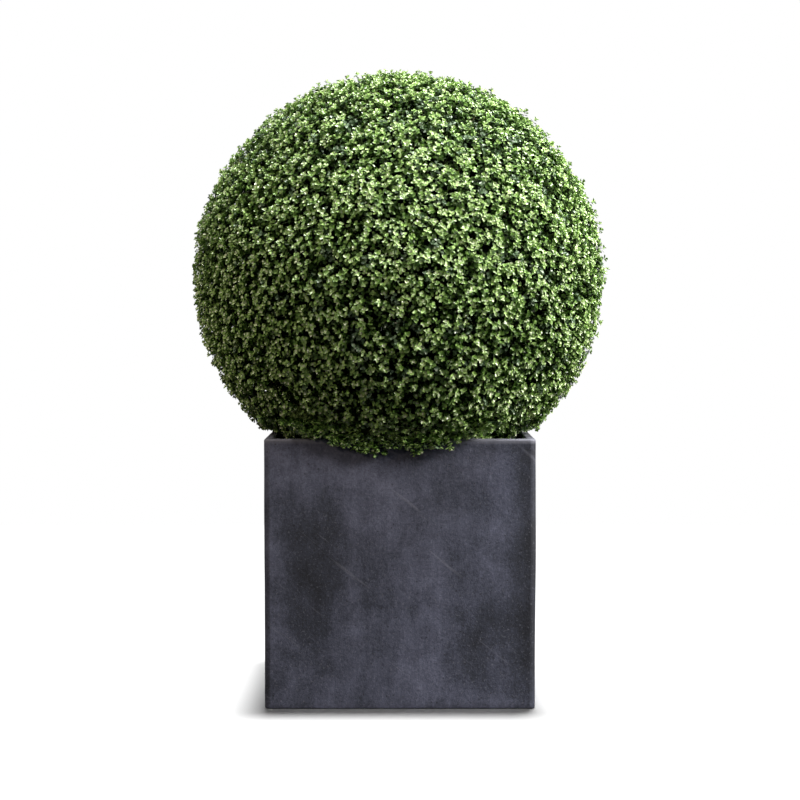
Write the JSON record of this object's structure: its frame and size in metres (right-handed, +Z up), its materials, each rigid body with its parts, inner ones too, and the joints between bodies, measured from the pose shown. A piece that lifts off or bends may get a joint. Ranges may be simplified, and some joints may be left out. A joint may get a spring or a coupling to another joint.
{
  "type": "box topiary ball in square planter",
  "caption": "Evergreen box shrub clipped to a full ball, on a short hidden stem in a plain square-sided dark planter filled with compost.",
  "frame": {"origin": "centre of the planter's flat underside", "axes": "+Z up through the planter, the stem and the ball; -Y is the front; +X is to the right seen from the front"},
  "size_m": [0.968, 0.968, 1.447],
  "materials": {
    "planter_clay": "matte",
    "compost": "matte",
    "bark": "matte",
    "foliage": "satin"
  },
  "bodies": {
    "root": {"planter": "planter_clay", "compost": "compost", "stem": "bark", "foliage_ball": "foliage"}
  },
  "joints": []
}
